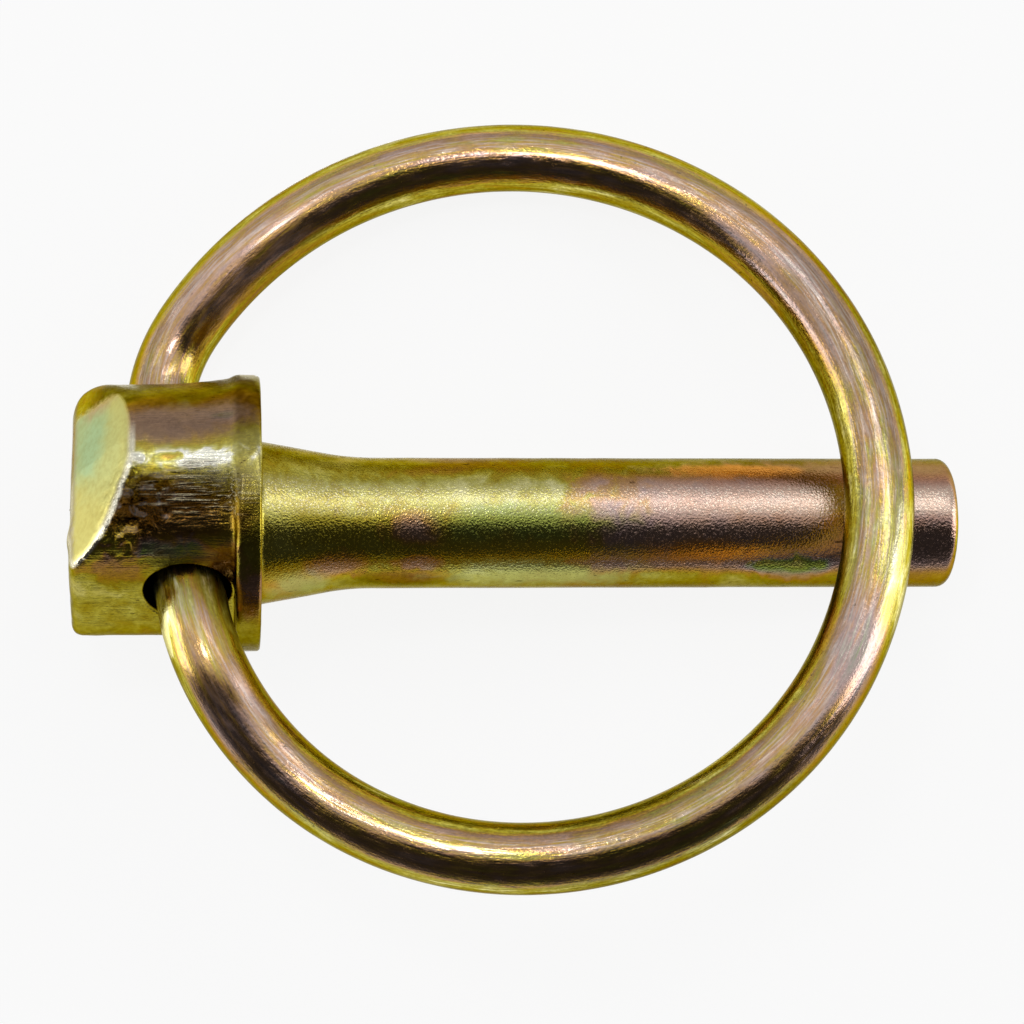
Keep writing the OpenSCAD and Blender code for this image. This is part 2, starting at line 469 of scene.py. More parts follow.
def forging_marks(x, y, z):
    """How far the rough forging stands out from its plain form, in millimetres."""
    head = 1 - smooth_step(-0.6, 0.2, x)
    bevel_side = (z - BODY_AXIS[1] - HEAD_R) - (x - BEVEL_X) * math.tan(BEVEL_ANGLE)
    off_bevel = 1 - 0.8 * smooth_step(-1.6, -0.5, bevel_side)
    height = head * off_bevel * (
        HEAD_LUMP_HEIGHT * lumps(x, y, z, *HEAD_LUMPS)
        + FINE_LUMP_HEIGHT * lumps(x, y, z, *FINE_LUMPS)
    )
    height += (1 - head) * SHANK_LUMP_HEIGHT * lumps(x, y, z, *SHANK_LUMPS)

    pits = smooth_step(-0.1, 0.5, lumps(x, y, z, *PITS))
    height -= PIT_DEPTH * spot(x, y, z, *PITTED_CORNER) * pits * off_bevel
    height -= CHIP_DEPTH * spot(x, y, z, *CHIPPED_RIM) * (0.5 + lumps(x, y, z, *CHIPS))
    height -= BRUISE_DEPTH * spot(x, y, z, *BRUISED_EDGE) * (0.5 + lumps(x, y, z, *BRUISES))
    height += NUB_HEIGHT * spot(x, y, z, *NUB)
    return height


def pin_angles(count=336):
    """Angles round the pin, closer together at the edges of the flats."""
    fine = np.linspace(0, 2 * math.pi, 7201)
    crease = math.asin(HALF_FLATS / HEAD_R)
    crowding, reach = 1.6, math.radians(5)
    density = np.ones_like(fine)
    for edge in (crease, math.pi - crease, math.pi + crease, 2 * math.pi - crease):
        density += crowding * np.exp(-(((fine - edge) / reach) ** 2))
    total = np.concatenate([[0], np.cumsum((density[1:] + density[:-1]) / 2)])
    return np.interp(np.arange(count) / count * total[-1], total, fine)


def pin_skin():
    """Vertices and faces of the pin's skin, without its sockets, in the pin's own millimetres."""
    angles = pin_angles()
    side, up = np.sin(angles)[None, :], np.cos(angles)[None, :]
    x0, r0, dx, dr, middle_y, middle_z = (
        np.array(column)[:, None] for column in zip(*skin_rays())
    )

    def place(t):
        r = r0 + t * dr
        return x0 + t * dx, middle_y + r * side, middle_z + r * up

    near = np.zeros((len(x0), len(angles)))
    far = np.full_like(near, RAY_REACH)
    for _ in range(HALVINGS):
        middle = (near + far) / 2
        inside = pin_distance(*place(middle)) < 0
        near = np.where(inside, middle, near)
        far = np.where(inside, far, middle)
    skin = near + forging_marks(*place(near))
    points = np.stack(place(skin), -1)[1:]

    # Where two bundles of rays reach the same stretch, their points are put in order along it.
    shared = (dx[1:, 0] < -1e-6) & (x0[1:, 0] > FAN_X)
    stretch = points[shared]
    out = np.hypot(stretch[..., 1] - BODY_AXIS[0], stretch[..., 2] - BODY_AXIS[1])
    order = np.argsort(stretch[..., 0] + 0.5 * out, axis=0)
    points[shared] = np.take_along_axis(stretch, order[..., None], axis=0)

    points = points.reshape(-1, 3)
    rows, count = len(x0) - 1, len(angles)
    end_middle = (-HEAD_LEN, *BODY_AXIS)
    tip_middle = (SHANK_LEN, 0, 0)
    points = np.vstack([points, end_middle, tip_middle])
    faces = []
    for j in range(count):
        k = (j + 1) % count
        faces.append((rows * count, j, k))
        for row in range(0, (rows - 1) * count, count):
            faces.append((row + j, row + count + j, row + count + k, row + k))
        faces.append((rows * count + 1, (rows - 1) * count + k, (rows - 1) * count + j))
    return points, faces


def lay_down(points):
    """Takes points from the pin's own millimetres to where it lies, in metres."""
    turn = np.array(LYING_METRES.to_3x3())
    return points @ turn.T + np.array(LYING_METRES.translation)


def new_piece(name, points, faces):
    """A mesh object made of points in metres."""
    mesh = bpy.data.meshes.new(name)
    mesh.from_pydata([tuple(p) for p in points], [], faces)
    mesh.validate()
    piece = bpy.data.objects.new(name, mesh)
    bpy.context.scene.collection.objects.link(piece)
    return piece


def socket_cutter(name, socket_x, side, sides=96, rim_steps=6):
    """The round drill that sinks a socket, with a softened mouth and a pointed end."""
    start = -2
    profile = [(SOCKET_R + SOCKET_RIM, start), (SOCKET_R + SOCKET_RIM, 0)]
    for k in range(1, rim_steps + 1):
        angle = math.radians(90 * k / rim_steps)
        profile.append((
            SOCKET_R + SOCKET_RIM * (1 - math.sin(angle)),
            SOCKET_RIM * (1 - math.cos(angle)),
        ))
    profile.append((SOCKET_R, SOCKET_DEPTH))
    tip = SOCKET_DEPTH + SOCKET_R / math.tan(DRILL_POINT / 2)

    def at(across, depth, up):
        return (
            -socket_x + across,
            BODY_AXIS[0] + side * (HALF_FLATS - depth),
            BODY_AXIS[1] + up,
        )

    points, faces = [], []
    for r, depth in profile:
        for j in range(sides):
            angle = 2 * math.pi * j / sides
            points.append(at(r * math.cos(angle), depth, r * math.sin(angle)))
    for i in range(0, len(points) - sides, sides):
        for j in range(sides):
            k = (j + 1) % sides
            faces.append((i + j, i + k, i + sides + k, i + sides + j))
    for row, depth in ((0, start), (len(profile) - 1, tip)):
        middle = len(points)
        points.append(at(0, depth, 0))
        faces += [(middle, row * sides + j, row * sides + (j + 1) % sides) for j in range(sides)]
    cutter = new_piece(name, lay_down(np.array(points)), faces)
    face_outwards(cutter)
    return cutter


def face_outwards(piece):
    """Turns every face of a closed piece outwards."""
    shape = bmesh.new()
    shape.from_mesh(piece.data)
    bmesh.ops.recalc_face_normals(shape, faces=shape.faces)
    shape.to_mesh(piece.data)
    shape.free()


def settle(piece):
    """Turns a piece with modifiers into a plain mesh."""
    graph = bpy.context.evaluated_depsgraph_get()
    mesh = bpy.data.meshes.new_from_object(piece.evaluated_get(graph))
    piece.modifiers.clear()
    piece.data = mesh
    mesh.name = piece.name


def remember_facing(piece):
    """Keeps which way each point of a piece faces as it lies."""
    facing = np.empty(len(piece.data.vertices) * 3, np.float32)
    piece.data.vertices.foreach_get("normal", facing)
    kept = piece.data.attributes.new("rest_normal", "FLOAT_VECTOR", "POINT")
    kept.data.foreach_set("vector", facing)


def make_pin(material):
    """The pin's skin with its two sockets drilled."""
    points, faces = pin_skin()
    pin = new_piece("forged_pin", lay_down(points), faces)
    face_outwards(pin)
    cutters = [
        socket_cutter("front_drill", FRONT_SOCKET_X, -1),
        socket_cutter("rear_drill", REAR_SOCKET_X, 1),
    ]
    for cutter in cutters:
        drill = pin.modifiers.new(cutter.name, "BOOLEAN")
        drill.operation = "DIFFERENCE"
        drill.solver = "EXACT"
        drill.object = cutter
    settle(pin)
    for cutter in cutters:
        bpy.data.objects.remove(cutter)
    pin.data.shade_smooth()
    pin.data.set_sharp_from_angle(angle=SHARP_ANGLE)
    remember_facing(pin)
    pin.data.materials.clear()
    pin.data.materials.append(material)
    return pin


# ---------------------------------------------------------------- the ring

WIRE_SIDES = 72
# The sweep's named inputs, each with its kind.
SWEEP_INPUTS = {
    "Line": "Geometry",
    "Wire Diameter": "Float",
    "Sides": "Int",
    "Draw Marks": "Float",
}


def bent_wire(start, bends, stub, step=0.45):
    """Points of the wire's centre line from start on, one bend after another, then straight."""
    place = start.copy()
    points = [place.translation.copy()]
    for radius, angle, turn in bends:
        place = place @ Matrix.Rotation(math.radians(turn), 4, "X")
        count = max(6, round(radius * math.radians(angle) / step))
        for k in range(1, count + 1):
            a = math.radians(angle) * k / count
            offset = Vector((radius * math.sin(a), radius * (1 - math.cos(a)), 0))
            points.append(place @ offset)
        place = place @ Matrix.Translation(offset) @ Matrix.Rotation(math.radians(angle), 4, "Z")
    count = round(stub / step)
    points += [place @ Vector((stub * k / count, 0, 0)) for k in range(1, count + 1)]
    return points


def ring_line():
    """The ring's centre line from its front end to its rear end, in metres."""
    nose = (
        LYING
        @ Matrix.Translation((PIVOT_X, BODY_AXIS[0], BODY_AXIS[1]))
        @ Matrix.Rotation(math.radians(RING_ROLL), 4, "X")
        @ Matrix.Rotation(math.radians(-RING_RISE), 4, "Y")
        @ Matrix.Translation(NOSE_CENTRE)
        @ Matrix.Rotation(math.radians(NOSE_START), 4, "Z")
        @ Matrix.Translation((NOSE_R, 0, 0))
    )
    quarter = math.pi / 2
    over = Matrix.Rotation(math.pi, 4, "X")
    towards_front = nose @ Matrix.Rotation(-quarter, 4, "Z") @ over
    towards_rear = nose @ Matrix.Rotation(quarter, 4, "Z")
    front = bent_wire(towards_front, FRONT_BENDS, FRONT_STUB)
    rear = bent_wire(towards_rear, REAR_BENDS, REAR_STUB)
    return [p * MM for p in reversed(front)] + [p * MM for p in rear[1:]]


def drawn_wire_tree(material):
    """Sweeps a round wire along a curve and keeps its straightened shape for the finish."""
    tree = bpy.data.node_groups.new("drawn_wire", "GeometryNodeTree")
    face = tree.interface
    for name, kind in SWEEP_INPUTS.items():
        face.new_socket(name, in_out="INPUT", socket_type="NodeSocket" + kind)
    face.new_socket("Wire", in_out="OUTPUT", socket_type="NodeSocketGeometry")

    make = Nodes(tree)
    given = make.node("NodeGroupInput")
    line, diameter, sides, mark_depth = (given.also(name) for name in SWEEP_INPUTS)
    hoop = make.node("GeometryNodeCurvePrimitiveCircle", {"mode": "RADIUS"}, Resolution=sides,
                     Radius=diameter * 0.5)
    run = make.node("GeometryNodeSplineParameter", out="Length")
    measured = make.node("GeometryNodeCaptureAttribute", {"captured": "FLOAT"},
                         Geometry=line, Value=run)
    along = measured.also("Value")
    around = make.node("GeometryNodeCaptureAttribute", {"captured": "VECTOR"},
                       Geometry=hoop, Value=make.node("GeometryNodeInputPosition"))
    section = around.also("Value")
    swept = make.node("GeometryNodeCurveToMesh", None, Curve=measured, Profile_Curve=around,
                      Fill_Caps=True)
    straight = make.node(
        "ShaderNodeCombineXYZ", None, along,
        make.part(section, "X"), make.part(section, "Y"),
    )
    unbent = make.vector("SCALE", straight, Scale=1 / MM)
    facing = make.node("GeometryNodeInputNormal")

    wire = make.node("GeometryNodeStoreNamedAttribute", {"data_type": "FLOAT_VECTOR"},
                     Geometry=swept, Name="unbent", Value=unbent)
    wire = make.node("GeometryNodeStoreNamedAttribute", {"data_type": "FLOAT_VECTOR"},
                     Geometry=wire, Name="rest_normal", Value=facing)

    marks = make.drawn_noise(unbent, (0.06, 0.9, 0.9))
    raised = make.vector("SCALE", facing, Scale=(marks - 0.5) * mark_depth)
    wire = make.node("GeometryNodeSetPosition", None, Geometry=wire, Offset=raised)
    wire = make.node("GeometryNodeSetShadeSmooth", None, Geometry=wire)
    wire = make.node("GeometryNodeRealizeInstances", None, Geometry=wire)
    wire = make.node("GeometryNodeSetMaterial", None, Geometry=wire, Material=material)
    make.node("NodeGroupOutput", None, wire)
    return tree


def make_ring(material):
    """The ring's wire, swept along its bends and turned into a plain mesh."""
    line = bpy.data.curves.new("ring_line", "CURVE")
    line.dimensions = "3D"
    points = ring_line()
    spline = line.splines.new("POLY")
    spline.points.add(len(points) - 1)
    for point, place in zip(spline.points, points):
        point.co = (*place, 1)
    for end in (0, -1):
        spline.points[end].radius = 1 - WIRE_CHAMFER / WIRE_R
    maker = bpy.data.objects.new("ring_maker", line)
    bpy.context.scene.collection.objects.link(maker)
    sweep = maker.modifiers.new("drawn_wire", "NODES")
    sweep.node_group = drawn_wire_tree(material)
    settings = {
        "Wire Diameter": 2 * WIRE_R * MM,
        "Sides": WIRE_SIDES,
        "Draw Marks": DRAW_MARK_DEPTH * MM,
    }
    for item in sweep.node_group.interface.items_tree:
        if item.in_out == "INPUT" and item.name in settings:
            sweep[item.identifier] = settings[item.name]
    graph = bpy.context.evaluated_depsgraph_get()
    mesh = bpy.data.meshes.new_from_object(maker.evaluated_get(graph))
    bpy.data.objects.remove(maker)
    ring = bpy.data.objects.new("sprung_ring", mesh)
    mesh.name = "sprung_ring"
    bpy.context.scene.collection.objects.link(ring)
    return ring


# ---------------------------------------------------------------- finishes

# The yellow zinc plating's colour from its thinnest film to its thickest.
PLATING_COLOURS = (
    (0.00, (0.86, 0.85, 0.72)),
    (0.07, (0.66, 0.62, 0.28)),
    (0.14, (0.50, 0.46, 0.10)),
    (0.22, (0.43, 0.35, 0.035)),
    (0.31, (0.50, 0.31, 0.05)),
    (0.40, (0.47, 0.26, 0.11)),
    (0.48, (0.53, 0.33, 0.24)),
    (0.56, (0.43, 0.29, 0.27)),
    (0.64, (0.36, 0.32, 0.27)),
    (0.73, (0.27, 0.33, 0.13)),
    (0.82, (0.25, 0.31, 0.05)),
    (0.91, (0.46, 0.43, 0.10)),
    (1.00, (0.54, 0.38, 0.25)),
)

# Places on the pin in its own millimetres: (middle, size, change of film).
PIN_FILM = (
    # The head and its flange.
    ((-5.0, 5.0, 8.4), (8.0, 2.6, 3.0), -0.06),
    # The next spot thins the film along the head's highlight band, paler colour as a painted
    # highlight.
    ((-5.2, -1.9, 9.6), (5.6, 0.9, 1.2), -0.24),
    ((-6.6, -1.9, 9.6), (1.2, 0.4, 0.6), 0.30),
    ((-2.8, 2.0, 9.8), (2.0, 1.8, 1.4), 0.12),
    ((-2.8, 1.4, 10.0), (1.0, 0.4, 0.5), 0.16),
    ((-6.4, -6.9, 5.2), (3.4, 1.0, 1.3), 0.44),
    ((-10.2, -6.9, 3.2), (2.8, 1.4, 1.9), 0.24),
    ((-2.4, -6.9, 3.9), (1.9, 1.4, 2.2), 0.10),
    ((-0.8, -8.8, 3.0), (1.2, 1.6, 2.4), 0.20),
    # The shank.
    ((14.0, -0.9, 4.7), (11.0, 1.6, 1.8), -0.09),
    ((26.0, -0.8, 4.8), (2.2, 2.0, 1.4), -0.14),
    ((5.3, -4.9, 0.9), (2.6, 1.2, 1.3), 0.22),
    ((9.8, -4.8, -0.4), (3.6, 0.9, 1.0), 0.16),
    ((11.3, -4.6, 1.0), (1.9, 0.8, 0.8), 0.24),
    ((11.0, -3.4, 3.3), (2.0, 1.5, 1.3), 0.22),
    ((18.5, -4.6, 0.3), (7.0, 1.2, 1.4), -0.07),
    ((38.2, -4.7, 0.3), (4.2, 1.3, 1.6), 0.22),
    ((38.0, -4.7, 0.6), (2.6, 1.0, 1.2), 0.20),
    ((5.0, 2.0, 4.6), (6.0, 2.5, 2.5), -0.04),
    ((15.0, 3.6, 3.2), (3.0, 1.0, 1.2), 0.16),
    ((42.5, -1.0, 4.6), (1.6, 1.4, 1.2), -0.12),
)

# Stains on the pin: (colour, places as above with how strong each stain is there).
MAUVE = (0.36, 0.25, 0.20)
RED_BROWN = (0.40, 0.19, 0.13)
ORANGE = (0.86, 0.36, 0.06)
GREEN = (0.30, 0.37, 0.08)
OLD_GOLD = (0.62, 0.46, 0.04)
TEAL = (0.41, 0.47, 0.20)
PINK = (0.52, 0.30, 0.25)
PIN_STAINS = (
    (MAUVE, (((-6.2, 1.0, 9.9), (6.0, 2.0, 1.6), 0.65),)),
    (RED_BROWN, (((44.0, 0.0, 4.5), (16.0, 3.4, 2.2), 0.7),
                 ((-2.4, -6.9, 3.9), (2.2, 1.4, 2.4), 0.5))),
    (ORANGE, (((32.0, -4.3, 2.0), (5.0, 0.8, 1.3), 0.75),
              ((34.5, 1.1, 4.6), (5.5, 0.8, 0.9), 0.75))),
    (GREEN, (((19.0, -3.0, 3.7), (7.5, 1.6, 1.6), 0.8),
             ((-6.2, -6.9, 4.8), (2.6, 1.0, 1.2), 0.6))),
    (OLD_GOLD, (((20.0, -4.3, 2.0), (8.0, 0.6, 1.0), 0.7),
                ((8.0, 3.0, 4.4), (9.0, 1.2, 1.2), 0.4))),
    (TEAL, (((20.0, -4.7, -0.2), (8.0, 0.8, 1.8), 0.5),
            ((3.0, -5.4, -0.6), (3.2, 1.0, 1.8), 0.5))),
    (PINK, (((-0.8, -8.8, 3.0), (1.2, 1.6, 2.4), 0.6),
            ((14.0, 2.9, 3.8), (3.4, 0.9, 0.9), 0.35))),
)

# Where the head's top is browned, where the forging is pitted or scraped, and where painted shade
# darkens the plating; then where the bevel is cool and warm. Each is (middle, size, how strong it
# is).
PIN_BROWN_TOP = (
    ((-5.0, 2.2, 9.6), (7.0, 3.2, 3.0), 1.0),
    ((-6.5, -5.6, 7.8), (6.5, 2.8, 3.0), 0.9),
)
PIN_PITTED = (((-9.0, -4.4, 7.8), (2.8, 3.0, 2.6), 1.0),)
PIN_SCRAPED = (((-4.2, -4.0, 8.6), (4.6, 2.1, 2.0), 1.0),)
PIN_PAINTED_SHADE = (
    ((-10.3, 5.4, 7.4), (3.2, 2.4, 3.0), 1.0),
    ((-10.0, -6.9, 3.0), (3.8, 1.5, 2.2), 0.5),
    ((-9.0, -6.9, -1.5), (8.0, 1.5, 5.0), 0.35),
    ((9.8, -4.7, -0.7), (4.8, 0.8, 1.3), 0.8),
)
BEVEL_COOL = (
    ((-12.3, 3.6, 5.4), (2.0, 5.0, 4.4), 0.8),
    ((-11.0, 0.5, 7.0), (3.0, 4.4, 3.6), 0.35),
)
BEVEL_WARM = (((-10.6, 5.8, 6.9), (3.2, 1.6, 2.4), 0.8),)

# Places on the ring as it lies, in millimetres: (middle, size, change of film).
RING_FILM = (
    ((-25.0, -8.8, 17.4), (1.7, 5.0, 4.4), -0.36),
    ((-21.6, -6.4, 18.8), (3.0, 2.0, 2.8), -0.10),
    ((-19.4, -15.0, 20.0), (2.6, 3.6, 3.0), 0.10),
    ((-18.5, 17.0, 5.5), (9.0, 8.0, 4.0), 0.10),
    ((-14.0, -19.0, 20.0), (12.0, 9.0, 6.0), 0.06),
    ((24.0, -10.0, 19.0), (2.6, 4.4, 3.0), 0.22),
    ((17.0, 16.0, 9.0), (9.0, 9.0, 5.0), 0.12),
    ((27.0, -3.0, 15.0), (2.2, 9.0, 5.0), -0.12),
)
# The first of them is painted light beside the socket: thinner, paler film and less dull plating.
RING_PAINTED_LIGHT = RING_FILM[:1]

# Places on the ring with a change of roughness, then places darkened as painted shade.
RING_ROUGH = (
    ((-19.2, -13.6, 20.3), (3.4, 5.0, 3.0), 0.12),
    ((-20.6, -7.6, 18.2), (3.0, 3.6, 2.8), 0.40),
    ((-19.0, 16.6, 5.4), (7.5, 7.0, 4.0), 0.22),
)
RING_PAINTED_SHADE = (
    ((12.0, -24.0, 20.0), (15.0, 8.0, 5.0), 0.30),
    ((23.0, 9.0, 11.0), (7.0, 14.0, 6.0), 0.35),
)

# Colours of worn and dull plating, of painted shade and of painted highlights.
RICH_GOLD = (1.0, 0.94, 0.48)
DULL_AND_SHADE_BROWN = (0.22, 0.18, 0.08)
GRIME_AND_SHADE = (0.52, 0.48, 0.40)
SCORED = (0.66, 0.60, 0.40)
HIGHLIGHT_PALE = (0.86, 0.80, 0.64)
WORN_EDGE_HIGHLIGHT = (0.84, 0.80, 0.64)
BEVEL_GOLD = (0.55, 0.50, 0.17)
BEVEL_TEAL = (0.37, 0.49, 0.27)
BEVEL_AMBER = (0.46, 0.31, 0.17)
BEVEL_END = (0.42, 0.37, 0.28)
BEVEL_SPECKLE = (0.7, 0.6, 0.45)
WIRE_HIGHLIGHT_PALE = (0.84, 0.74, 0.64)

# The plain film's thickness on each piece, from 0 to 1, and the plating's roughness.
PIN_PLAIN_FILM = 0.20
RING_PLAIN_FILM = 0.17
PLATING_ROUGHNESS = 0.13
PLATING_GLINT = (0.60, 0.56, 0.40)

# How deep one step of each finish's relief is, in millimetres.
FORGED_RELIEF = 0.012
WIRE_RELIEF = 0.008


def new_finish(name):
    """A new material and the maker of its nodes."""
    material = bpy.data.materials.new(name)
    material.use_nodes = True
    return material, Nodes(material.node_tree)


def metal_output(make, colour, roughness, height, relief, coat, coat_roughness):
    """Ends a plated finish; height counts in steps of relief, in millimetres."""
    bump = make.node("ShaderNodeBump", None, Strength=1.0, Distance=relief * MM, Height=height)
    metal = make.node("ShaderNodeBsdfPrincipled", None, Base_Color=colour, Metallic=1.0,
                      Roughness=roughness, Specular_Tint=PLATING_GLINT, Normal=bump,
                      Coat_Weight=coat, Coat_Roughness=coat_roughness, Coat_IOR=1.6)
    make.node("ShaderNodeOutputMaterial", None, metal)


def plated_colour(make, film, dullness_and_shade, flat):
    """The film's colour, richer off the flat and darkened where the plating is dull or painted
    shade falls.
    """
    colour = make.node("ShaderNodeValToRGB", {"stops": PLATING_COLOURS}, film)
    colour = make.tint(1 - flat, colour, RICH_GOLD)
    return make.tint(dullness_and_shade, colour, DULL_AND_SHADE_BROWN)


class Sides:
    """Masks of the part's sides as it lies, each from 0 to 1."""

    def __init__(self, make):
        facing = make.attribute("rest_normal")
        back = make.part(facing, "Y")
        tilt = make.number("ABSOLUTE", make.part(facing, "Z"))
        self.level = make.ease(tilt, 0.25, 0.75)
        self.flat = make.ease(tilt, 0.58, 0.80)
        self.backward = make.ease(back, 0.50, 0.78)
        self.forward = make.ease(back, -0.55, -0.8)
        # The band along the upper back where the lamps' highlights fall, painted pale as a painted
        # highlight.
        self.painted_highlight_band = make.ease(back, 0.04, 0.24) * make.ease(back, 0.66, 0.46) * self.flat


def bevel_masks(make, place, radius_wobble, rim_wobble):
    """Where the pin's bevel is, and where the edge under it is worn and painted bright as a
    highlight.
    """
    from_body = make.vector("SUBTRACT", place, (BEVEL_X, *BODY_AXIS))
    radius = make.vector("LENGTH", make.vector("MULTIPLY", from_body, (0, 1, 1)), out="Value")
    planes = [
        make.vector("DOT_PRODUCT", from_body, (
            -math.sin(BEVEL_ANGLE),
            -math.sin(twist) * math.cos(BEVEL_ANGLE),
            math.cos(twist) * math.cos(BEVEL_ANGLE),
        ), out="Value")
        for twist in (0, BEVEL_TWIST)
    ]
    nearest = make.number("MAXIMUM", *planes)
    plane = HEAD_R * math.cos(BEVEL_ANGLE)
    x, y = make.part(place, "X"), make.part(place, "Y")
    on_bevel = (
        make.ease(nearest, plane - 0.22, plane - 0.03)
        * make.ease(radius + radius_wobble, 9.4, 8.8)
        * make.ease(y + rim_wobble + (x + 11) * 0.35, 5.7, 4.8)
    )
    # The crease's lower part is painted pale as a painted highlight on the worn edge.
    worn_edge_highlight = make.ease(nearest, plane - 0.44, plane - 0.26) * make.ease(y, 1.6, -0.8)
    return on_bevel, worn_edge_highlight


def bevel_colour(make, place, blotch, speckle):
    """The bevel's satin gold, teal at one end and amber at its rim."""
    satin = make.blend(make.patches(place, blotch * 0.5, BEVEL_COOL), BEVEL_GOLD, BEVEL_TEAL)
    satin = make.blend(make.patches(place, blotch * 1.2, BEVEL_WARM), satin, BEVEL_AMBER)
    at_end = make.ease(make.part(place, "X") + (speckle - 0.5) * 0.6, -12.9, -13.5)
    satin = make.blend(at_end, satin, BEVEL_END)
    return make.tint((speckle - 0.42) * 1.2 + blotch * 0.8, satin, BEVEL_SPECKLE)


def forged_finish():
    """The pin's plated, rough forging."""
    material, make = new_finish("plated_forging")
    place = make.node(
        "ShaderNodeMapping", {"vector_type": "TEXTURE"},
        make.node("ShaderNodeTexCoord", out="Object"),
        Location=SHOULDER * MM, Rotation=LYING.to_euler(), Scale=(MM, MM, MM),
    )
    x = make.part(place, "X")
    sides = Sides(make)

    # Patterns from the widest to the finest; cloud and blotch are centred on 0.
    cloud = make.noise(place, 0.13, detail=3.0, distortion=0.6) - 0.5
    blotch = make.noise(place, 0.7, detail=5.0, distortion=0.6) - 0.5
    coarse = make.noise(place, 1.9, detail=4.0, distortion=0.5)
    speckle = make.noise(place, 2.6, detail=4.0)
    facets = make.node("ShaderNodeTexVoronoi", {"feature": "SMOOTH_F1"}, Vector=place, Scale=5.6,
                       Smoothness=0.25)
    flecks = make.ease(make.noise(place, 6.2, detail=4.0), 0.50, 0.66)
    grain = make.noise(place, 8.5, detail=3.0)
    scratches = make.drawn_noise(place, (0.30, 6.0, 6.0), detail=4.0)
    # Dark dashes and specks where dirt sits in the pores.
    dirt = make.ease(make.drawn_noise(place, (1.1, 3.6, 3.6), detail=4.0), 0.66, 0.74)

    # Masks of the pin's parts and places.
    on_head = make.ease(x, 0.6, -0.6)
    on_body = make.ease(x, -1.5, -2.2)
    at_tip = make.ease(x + blotch * 5, 20.5, 26.5)
    on_bevel, worn_edge_highlight = bevel_masks(make, place, blotch * 1.2, (speckle - 0.5) * 0.8)
    off_bevel = 1 - on_bevel
    wobble = blotch * 0.9
    brown_top = make.patches(place, wobble, PIN_BROWN_TOP)
    pitted = make.patches(place, wobble, PIN_PITTED)
    scraped = make.patches(place, wobble, PIN_SCRAPED)
    # Painted shade: places where the colour is darkened and the coat left off.
    painted_shade = make.patches(place, wobble, PIN_PAINTED_SHADE)

    # The film's thickness, and how dull the plating over it is, with painted shade in that
    # dullness.
    film = PIN_PLAIN_FILM + brown_top * 0.22 + sides.flat * at_tip * 0.31
    film = film + cloud * (0.60 - sides.flat * 0.38) + blotch * (0.26 - sides.flat * 0.12)
    film = film + (speckle - 0.5) * 0.06
    film = film + make.patches(place, blotch * 2.2, PIN_FILM)
    # Dullness mixes dirt, scrapes and pits with painted shade: darker on the sides that face
    # sideways and at the painted-shade places.
    dullness_and_shade = dirt * 0.6 + (1 - sides.level) * 0.24 + (scraped + painted_shade) * 0.6
    dullness_and_shade = dullness_and_shade + pitted * (0.4 + make.ease(coarse, 0.56, 0.42) * 0.6)
    dullness_and_shade = dullness_and_shade + brown_top * 0.65 + (on_head - on_body) * 0.35
    # Painted shade on the shank's sides facing back and, at the tip, forwards.
    painted_side_shade = sides.backward * 0.3 + sides.forward * at_tip * 0.22
    dullness_and_shade = dullness_and_shade + painted_side_shade * (1 - on_head)
    dullness_and_shade = dullness_and_shade + (speckle - 0.5) * 0.4 + blotch * 0.3
    dullness_and_shade = make.clamp(dullness_and_shade * off_bevel)

    # The colour: plating, stains, grime and painted shade, bright scratches, the painted highlight
    # band, the worn edge's painted highlight and bevel.
    colour = plated_colour(make, film, dullness_and_shade, sides.flat)
    for stain, places in PIN_STAINS:
        colour = make.blend(make.patches(place, blotch * 1.4, places), colour, stain)
    colour = make.tint(dullness_and_shade, colour, GRIME_AND_SHADE)
    scored = scraped * make.ease(scratches, 0.50, 0.66) * 0.45
    colour = make.blend(scored, colour, SCORED)
    # Painted glints: pale dots in the painted highlight band.
    painted_glints = make.ease(facets, 0.42, 0.20)
    towards_tip = make.ease(x, 26, 44)
    # Painted highlight: the colour goes pale along the band where the lamps' highlights fall, more
    # towards the tip.
    pale = sides.painted_highlight_band * (0.05 + painted_glints * 0.38 + towards_tip * 0.22) * (1 - on_head)
    colour = make.blend(pale, colour, HIGHLIGHT_PALE)
    colour = make.blend(worn_edge_highlight * 0.8, colour, WORN_EDGE_HIGHLIGHT)
    colour = make.blend(on_bevel, colour, bevel_colour(make, place, blotch, speckle))

    height = grain * (1.7 + on_head * 0.3 + pitted * 5.0)
    height = height + speckle * (0.5 + on_head * 1.6 + pitted * 9.0)
    height = height + facets * (1 - on_head * 0.8) * 1.3
    height = height + coarse * pitted * 30.0 + scratches * (scraped * 17.0 + 2.6) * on_body
    height = height - dirt * 0.5
    height = height * (1 - on_bevel * 0.85)
    roughness = PLATING_ROUGHNESS + blotch * 0.08 + on_bevel * 0.22 + dirt * 0.2
    roughness = roughness + scraped * 0.04 + flecks * off_bevel * (0.22 - on_head * 0.10)
    coat = sides.painted_highlight_band * off_bevel * (1 - on_head * 0.5) * (1 - painted_shade)
    metal_output(make, colour, roughness, height, FORGED_RELIEF, coat, coat_roughness=0.25)
    return material


